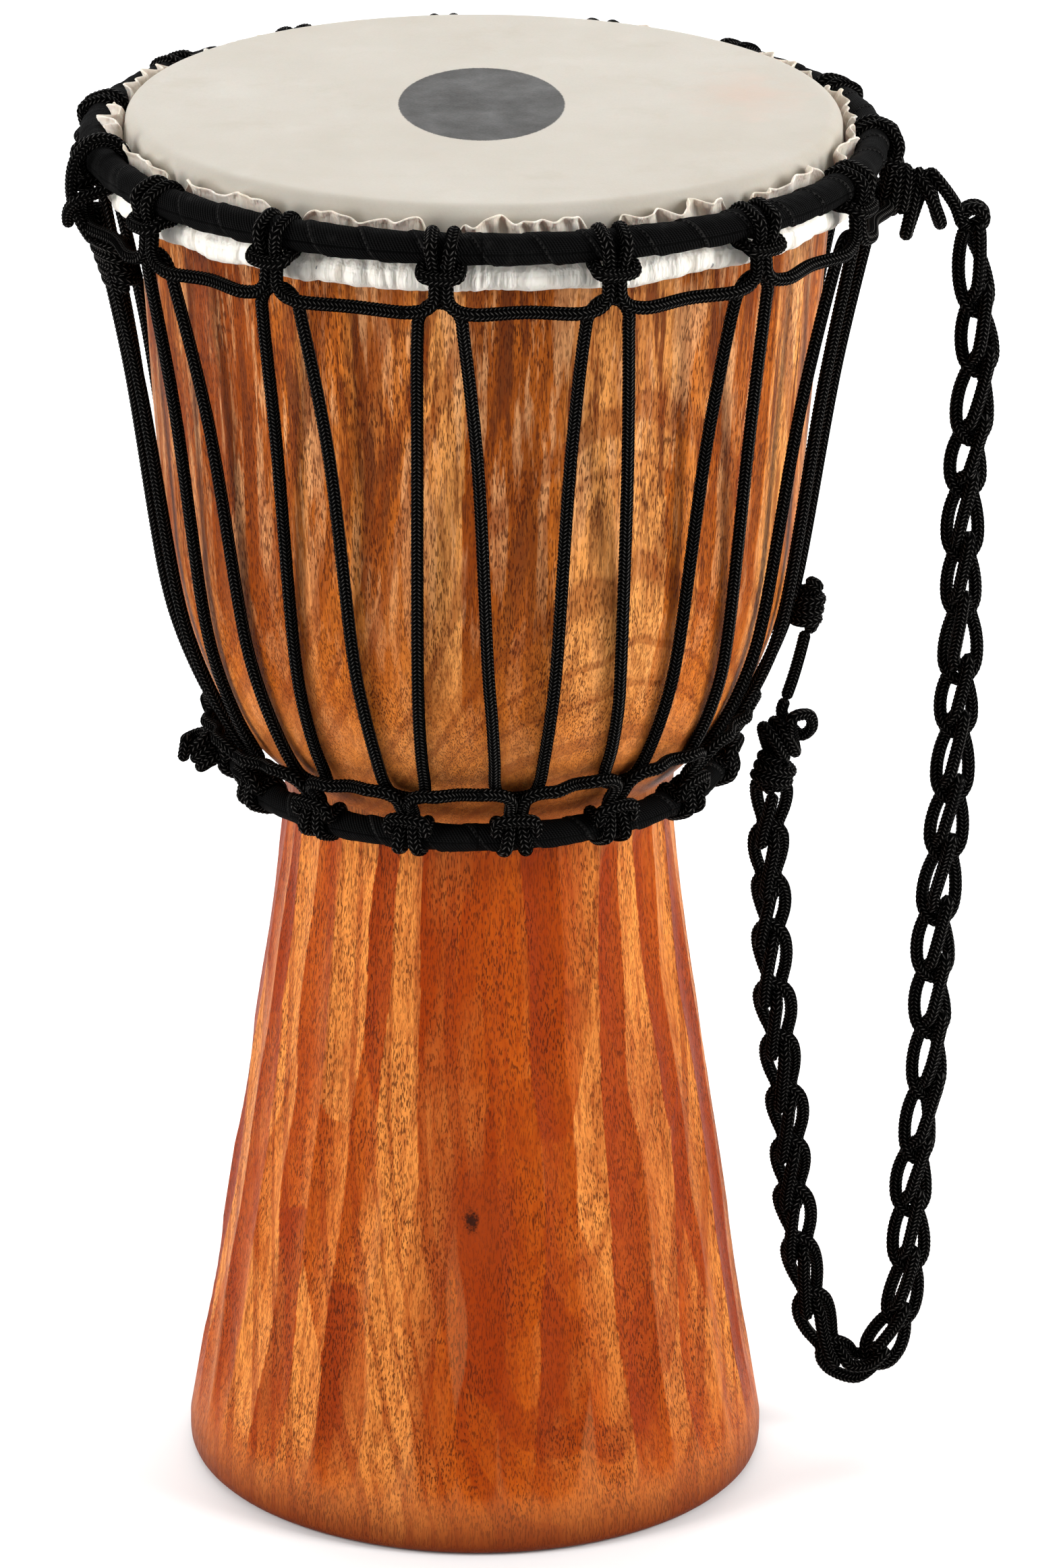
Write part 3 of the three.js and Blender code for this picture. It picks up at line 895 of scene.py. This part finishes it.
def wood_material():
    """Stained hardwood: upright grain, many short dark pores, soft figure, and one dark knot, with painted
    light and shade on the carved facets and a painted highlight along their ridges.
    """
    s = Shader("carved_hardwood")
    z = s.node("SeparateXYZ", {0: s.place}).outputs[2]
    drift = s.noise(s.scaled(s.place, 1, 1, 0.3), 7, 2, 0.5, "Color")
    bent = s.moved(s.place, s.scaled(s.moved(drift, (-0.5, -0.5, -0.5)), 0.03, 0.03, 0))
    pith = s.scaled(s.moved(bent, (-0.03, 0.05, 0)), 1, 1, 0.12)
    rings_out = s.length(pith)
    rings = s.wave_noise(rings_out, 210, 2)
    patches = s.noise(s.scaled(bent, 1, 1, 0.2), 17, 3, 0.55)
    streaks = s.noise(s.scaled(bent, 1, 1, 0.05), 120, 4, 0.65)
    fibres = s.noise(s.scaled(s.place, 1, 1, 0.03), 420, 4, 0.7)
    pores = s.noise(s.scaled(s.moved(s.place, (0.3, 0.1, 0)), 1, 1, 0.12), 2100, 1, 0.4)
    clusters = s.noise(s.scaled(s.place, 1, 1, 0.4), 60, 2)
    pore = s.math("MULTIPLY", s.range(pores, 0.54, 0.62), s.range(clusters, 0.35, 0.6, 0.5, 1))

    bowl = s.range(z, 0.31, 0.36)
    tone = s.mark("tone")
    light = s.mix(bowl, colour(0.70, 0.235, 0.045), colour(0.74, 0.300, 0.075))
    middle = s.mix(bowl, colour(0.43, 0.078, 0.004), colour(0.52, 0.135, 0.012))
    deep = s.mix(bowl, colour(0.25, 0.026, 0.001), colour(0.21, 0.036, 0.002))
    # painted shading: the tone mark lightens some carved facets and darkens others
    body = s.mix(s.range(tone, 0.45, 0.75), middle, light)
    body = s.mix(s.range(tone, 0.45, 0.10, 0.0, 0.85), body, deep)
    body = s.mix(s.range(patches, 0.54, 0.68, 0.0, 0.55), body, deep)
    body = s.mix(s.range(patches, 0.48, 0.32, 0.0, 0.6), body, light)
    upper = s.math("MULTIPLY", bowl, s.range(z, 0.40, 0.50, 0.2, 1.0))
    dark_streak = s.math("MULTIPLY", s.range(streaks, 0.54, 0.60), upper)
    body = s.mix(s.math("MULTIPLY", dark_streak, 0.9), body, colour(0.120, 0.026, 0.005))
    light_streak = s.math("MULTIPLY", s.range(streaks, 0.50, 0.42), upper)
    body = s.mix(s.math("MULTIPLY", light_streak, 0.65), body, colour(0.80, 0.40, 0.17))
    body = s.mix(s.range(rings, 0.54, 0.60, 0, 0.5), body, deep)
    body = s.mix(s.range(fibres, 0.44, 0.62, 0, 0.55), body, deep)
    body = s.mix(s.math("MULTIPLY", pore, 0.8), body, colour(0.060, 0.008, 0.001))
    # painted highlight along the ridges and uncut lands, where the cut is shallow
    cut = s.mark("cut")
    body = s.mix(s.range(cut, 0.0, 0.2, 0.15, 0.0), body, colour(0.72, 0.30, 0.10))

    spot = s.moved(s.place, (-KNOT_SPOT[0] * MM, 0.105, -KNOT_SPOT[1] * MM))
    spot_out = s.length(s.scaled(spot, 1, 0.2, 0.62))
    ragged = s.math("ADD", spot_out, s.range(s.noise(s.place, 900, 2), 0.3, 0.7, -0.0012, 0.0012))
    body = s.mix(s.range(ragged, 0.002, 0.022, 0.7, 0.0), body, colour(0.26, 0.035, 0.004))
    body = s.mix(s.range(ragged, 0.0014, 0.0038, 0.95, 0.0), body, colour(0.02, 0.005, 0.002))

    foot = s.range(z, 0.002, 0.024, 0.92, 0.0)
    body = s.mix(foot, body, colour(0.12, 0.014, 0.001))
    raw_wood = s.mix(fibres, colour(0.50, 0.30, 0.16), colour(0.30, 0.15, 0.07))
    raw = s.mark("raw")
    body = s.mix(raw, body, raw_wood)

    rough = s.range(fibres, 0.3, 0.7, 0.38, 0.52)
    rough = s.math("ADD", rough, s.math("MULTIPLY", raw, 0.35))
    tool = s.noise(s.scaled(s.place, 1, 1, 0.3), 130, 2)
    normal = s.bump(tool, 0.0006, 0.5)
    normal = s.bump(fibres, 0.0003, 0.8, normal)
    normal = s.bump(s.math("SUBTRACT", 1.0, pore), 0.00035, 0.9, normal)
    s.surface_is(Base_Color=body, Roughness=rough, Normal=normal)
    s.surface_is(Specular_IOR_Level=0.06)
    return s.material


PRINT_SPOT = (-1.0, 2.0)  # the printed oval's place on the head, and its half width and depth
PRINT_HALF = (35.0, 56.0)


def skin_material():
    """Goat skin: cream, faintly blotched and veined, puckered at the fold, with painted shade in the fold's
    creases, and a plain dark oval.
    """
    s = Shader("goat_skin")
    cloud = s.noise(s.place, 9, 4, 0.6)
    mottle = s.noise(s.place, 60, 4, 0.6)
    grain = s.noise(s.place, 900, 3, 0.6)
    stray = s.scaled(s.noise(s.place, 14, 2, 0.5, "Color"), 0.03, 0.03, 0)
    veins = s.noise(s.moved(s.place, stray), 24, 5, 0.7)
    body = s.mix(s.range(cloud, 0.35, 0.68), colour(0.462, 0.428, 0.375), colour(0.405, 0.365, 0.305))
    body = s.mix(s.range(mottle, 0.42, 0.75, 0, 0.35), body, colour(0.495, 0.462, 0.410))
    body = s.mix(s.range(veins, 0.56, 0.68, 0, 0.25), body, colour(0.36, 0.31, 0.24))
    body = s.mix(s.range(grain, 0.45, 0.7, 0, 0.2), body, colour(0.36, 0.33, 0.28))
    flush = s.moved(s.place, (-0.108, -0.02, -HEIGHT * MM))
    flush_out = s.length(s.scaled(flush, 1, 0.7, 1))
    ragged = s.math("ADD", flush_out, s.range(mottle, 0.3, 0.7, -0.012, 0.012))
    body = s.mix(s.range(ragged, 0.0, 0.028, 0.40, 0.0), body, colour(0.50, 0.32, 0.24))

    oval = s.moved(s.place, (-PRINT_SPOT[0] * MM, -PRINT_SPOT[1] * MM, -HEIGHT * MM))
    oval = s.scaled(oval, 1 / (PRINT_HALF[0] * MM), 1 / (PRINT_HALF[1] * MM), 30)
    oval_out = s.length(oval)
    oval_edge = s.math("ADD", oval_out, s.range(grain, 0.3, 0.7, -0.006, 0.006))
    ink = s.range(oval_edge, 0.985, 1.0, 0.97, 0.0)
    printed = s.mix(s.range(grain, 0.35, 0.7), colour(0.004, 0.004, 0.004), colour(0.022, 0.021, 0.020))
    body = s.mix(ink, body, printed)

    fold = s.mark("fold")
    frill = s.mark("frill")
    wrinkles = s.noise(s.scaled(s.place, 1, 1, 0.14), 190, 3, 0.6)
    body = s.mix(s.math("MULTIPLY", fold, 0.85), body, colour(0.90, 0.84, 0.765))
    # painted shade in the creases of the fold
    painted_crease_shade = s.math("MULTIPLY", s.range(wrinkles, 0.57, 0.70, 0, 0.6), fold)
    body = s.mix(painted_crease_shade, body, colour(0.36, 0.31, 0.24))
    ruffled = s.math("MULTIPLY", frill, s.range(mottle, 0.35, 0.65, 0.2, 0.8))
    body = s.mix(ruffled, body, colour(0.60, 0.525, 0.41))
    normal = s.bump(mottle, 0.0004, 0.3)
    normal = s.bump(grain, 0.00012, 0.5, normal)
    normal = s.bump(s.math("MULTIPLY", wrinkles, fold), 0.004, 0.6, normal)
    s.surface_is(Base_Color=body, Roughness=s.range(mottle, 0.3, 0.7, 0.5, 0.68), Normal=normal)
    s.surface_is(Subsurface_Weight=0.1, Subsurface_Scale=0.003, Specular_IOR_Level=0.18)
    return s.material


def rope_material():
    """Black polyester braid: slanted picks in eight columns, dull with a slight sheen, with painted shade
    between the picks and a painted highlight on each pick's crest.
    """
    s = Shader("black_braid")
    uv = s.node("UVMap").outputs["UV"]
    split = s.node("SeparateXYZ", {0: uv})
    columns = s.math("MULTIPLY", split.outputs[0], 8.0)
    slant = s.math("PINGPONG", columns, 1.0)
    picks = s.math("SINE", s.math("MULTIPLY", s.math("ADD", split.outputs[1], slant), 2 * math.pi))
    edge = s.math("ABSOLUTE", s.math("SUBTRACT", s.math("FRACT", columns), 0.5))
    relief = s.math("SUBTRACT", s.range(picks, -1, 1), s.math("MULTIPLY", edge, 0.9))
    yarn = s.noise(s.place, 2600, 2)
    dust = s.noise(s.place, 300, 3)
    # painted shade in the valleys between the picks, and a painted highlight on each pick's crest
    body = s.mix(s.range(relief, -0.2, 0.75), colour(0.0, 0.0, 0.0), colour(0.0006, 0.0005, 0.0004))
    body = s.mix(s.range(relief, 0.60, 0.92, 0, 0.9), body, colour(0.062, 0.058, 0.054))
    body = s.mix(s.range(yarn, 0.60, 0.8, 0, 0.3), body, colour(0.014, 0.013, 0.012))
    body = s.mix(s.range(dust, 0.64, 0.8, 0, 0.2), body, colour(0.020, 0.019, 0.018))
    normal = s.bump(relief, 0.0006, 1.0)
    normal = s.bump(yarn, 0.0001, 0.5, normal)
    s.surface_is(Base_Color=body, Roughness=s.range(relief, -0.4, 0.8, 0.8, 0.42), Normal=normal)
    s.surface_is(Specular_IOR_Level=0.012)
    return s.material


def webbing_material():
    """Black ribbed webbing, rubbed grey where it is handled, with painted highlights on the ribs and lap
    edges and painted shade in the grooves and under each lap's edge.
    """
    s = Shader("black_webbing")
    split = s.node("SeparateXYZ", {0: s.node("UVMap").outputs["UV"]})
    ribs = s.math("SINE", s.math("MULTIPLY", split.outputs[0], 2 * math.pi / 0.00125))
    weft = s.math("SINE", s.math("MULTIPLY", split.outputs[1], 2 * math.pi / 0.0009))
    relief = s.math("ADD", s.range(ribs, -1, 1), s.math("MULTIPLY", weft, 0.22))
    rub = s.noise(s.place, 75, 4, 0.65)
    fuzz = s.noise(s.place, 1800, 2)
    # painted shade in the grooves between ribs, and a painted highlight on the rib crests
    body = s.mix(s.range(relief, 0, 1), colour(0.0001, 0.0001, 0.0001), colour(0.0062, 0.0061, 0.0060))
    body = s.mix(s.range(rub, 0.6, 0.78, 0, 0.35), body, colour(0.022, 0.021, 0.020))
    body = s.mix(s.range(fuzz, 0.64, 0.8, 0, 0.2), body, colour(0.016, 0.015, 0.015))
    lap = s.mark("lap")
    # painted highlight on each lap's standing edge, and painted shade where the lap runs under the next
    # turn's edge
    body = s.mix(s.range(lap, 0.0, 0.08, 0.7, 0.0), body, colour(0.040, 0.038, 0.036))
    body = s.mix(s.range(lap, 0.88, 1.0, 0.0, 0.8), body, colour(0.0002, 0.0002, 0.0002))
    normal = s.bump(relief, 0.0004, 0.9)
    normal = s.bump(fuzz, 0.0001, 0.5, normal)
    s.surface_is(Base_Color=body, Roughness=s.range(rub, 0.4, 0.8, 0.82, 0.6), Normal=normal)
    s.surface_is(Specular_IOR_Level=0.02)
    return s.material


def steel_material():
    """Plain drawn steel bar, faintly oiled."""
    s = Shader("drawn_steel")
    drawn = s.noise(s.scaled(s.place, 1, 1, 12), 160, 3)
    tarnish = s.noise(s.place, 35, 4, 0.6)
    body = s.mix(s.range(tarnish, 0.4, 0.75), colour(0.42, 0.43, 0.45), colour(0.24, 0.21, 0.18))
    s.surface_is(Base_Color=body, Metallic=1.0, Roughness=s.range(drawn, 0.3, 0.7, 0.3, 0.5))
    s.surface_is(Normal=s.bump(drawn, 0.0001, 0.4))
    return s.material


# ---- Studio ----


def floor_material():
    s = Shader("pale_floor")
    tone = s.noise(s.place, 3, 2)
    body = s.mix(tone, colour(0.90, 0.90, 0.90), colour(0.93, 0.93, 0.93))
    s.surface_is(Base_Color=body, Roughness=0.9)
    s.surface_is(Specular_IOR_Level=0.1)
    return s.material


def area_light(name, spot, target, size, power):
    data = bpy.data.lights.new(name, "AREA")
    data.shape = "RECTANGLE"
    data.size, data.size_y = size
    data.energy = power
    light = bpy.data.objects.new(name, data)
    light.location = spot
    light.rotation_mode = "QUATERNION"
    light.rotation_quaternion = (Vector(target) - Vector(spot)).to_track_quat("-Z", "Y")
    bpy.context.scene.collection.objects.link(light)


def room_light():
    """A white room, bright behind the drum and dim in front of it, so the carving keeps its shadows."""
    world = bpy.data.worlds.new("white_room")
    world.use_nodes = True
    tree = world.node_tree
    spot = tree.nodes.new("ShaderNodeTexCoord")
    split = tree.nodes.new("ShaderNodeSeparateXYZ")
    level = tree.nodes.new("ShaderNodeMapRange")
    level.inputs["From Min"].default_value = -0.35
    level.inputs["From Max"].default_value = 0.35
    level.inputs["To Min"].default_value = 0.14
    level.inputs["To Max"].default_value = 1.08
    tree.links.new(spot.outputs["Generated"], split.inputs[0])
    tree.links.new(split.outputs[1], level.inputs["Value"])
    background = tree.nodes["Background"]
    background.inputs["Color"].default_value = colour(1.0, 1.0, 1.0)
    tree.links.new(level.outputs["Result"], background.inputs["Strength"])
    bpy.context.scene.world = world


def studio():
    """A pale floor, a tall soft box at each side, and a white room."""
    half = 9000
    corners = [(-half, -half, 0), (half, -half, 0), (half, half, 0), (-half, half, 0)]
    floor = make_mesh("floor", corners, [(0, 1, 2, 3)])
    floor.location.z = -0.0002
    floor.data.materials.append(floor_material())
    area_light("left_box", (-1.9, -1.0, 1.1), (0, 0, 0.33), (0.7, 1.6), 46)
    area_light("right_box", (1.9, -0.8, 1.1), (0, 0, 0.33), (0.7, 1.6), 50)
    area_light("front_fill", (0.2, -3.0, 2.3), (0, 0, 0.3), (1.2, 0.8), 5)
    area_light("top_box", (0, 0.4, 2.2), (0, 0, 0.5), (1.6, 1.2), 4)
    area_light("floor_wash", (0, 3.2, 2.6), (0, 2.6, 0), (4.0, 2.0), 110)
    room_light()
    bpy.context.scene.view_settings.view_transform = "Standard"


# ---- The assembly ----


def assemble():
    braid = rope_material()
    webbing = webbing_material()
    steel = steel_material()
    make_strap(braid)

    finish_piece(shell(), wood_material(), "wood", "drum", "shell")

    head = drumhead()
    finish_piece(head, skin_material(), "skin", None, "drumhead")
    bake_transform(head)

    finish_piece(steel_hoop("flesh_hoop", FLESH), steel, "steel", "crown_rigging", "flesh_ring")
    finish_piece(steel_hoop("crown_hoop", CROWN), steel, "steel", "crown_rigging", "crown_ring")
    finish_piece(steel_hoop("lower_hoop", LOWER), steel, "steel", "drum", "lower_ring")
    crown_wrap = wound_webbing("crown_hoop_webbing", CROWN, 46, 6)
    finish_piece(crown_wrap, webbing, "webbing", "crown_rigging", "crown_ring_wrap")
    lower_wrap = wound_webbing("lower_hoop_webbing", LOWER, 29, 7)
    finish_piece(lower_wrap, webbing, "webbing", "drum", "lower_ring_wrap")

    crown_cradle = cradle_rope("crown_cradle_braid", CROWN, CROWN_HITCH, CROWN_AROUND, 41)
    finish_piece(crown_cradle, braid, "rope", "crown_rigging", "crown_cradle_rope")
    lower_cradle = cradle_rope("lower_cradle_braid", LOWER, LOWER_HITCH, LOWER_AROUND, 42)
    finish_piece(lower_cradle, braid, "rope", "drum", "lower_cradle_rope")
    uprights = tuning_rope()
    finish_piece(uprights, braid, "rope", None, "tuning_rope")
    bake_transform(uprights)
    finish_piece(tie_off(), braid, "rope", "crown_rigging", "tuning_tie_off")
    finish_piece(stopper_knot(), braid, "rope", "drum", "lower_stopper_knot")


assemble()
studio()
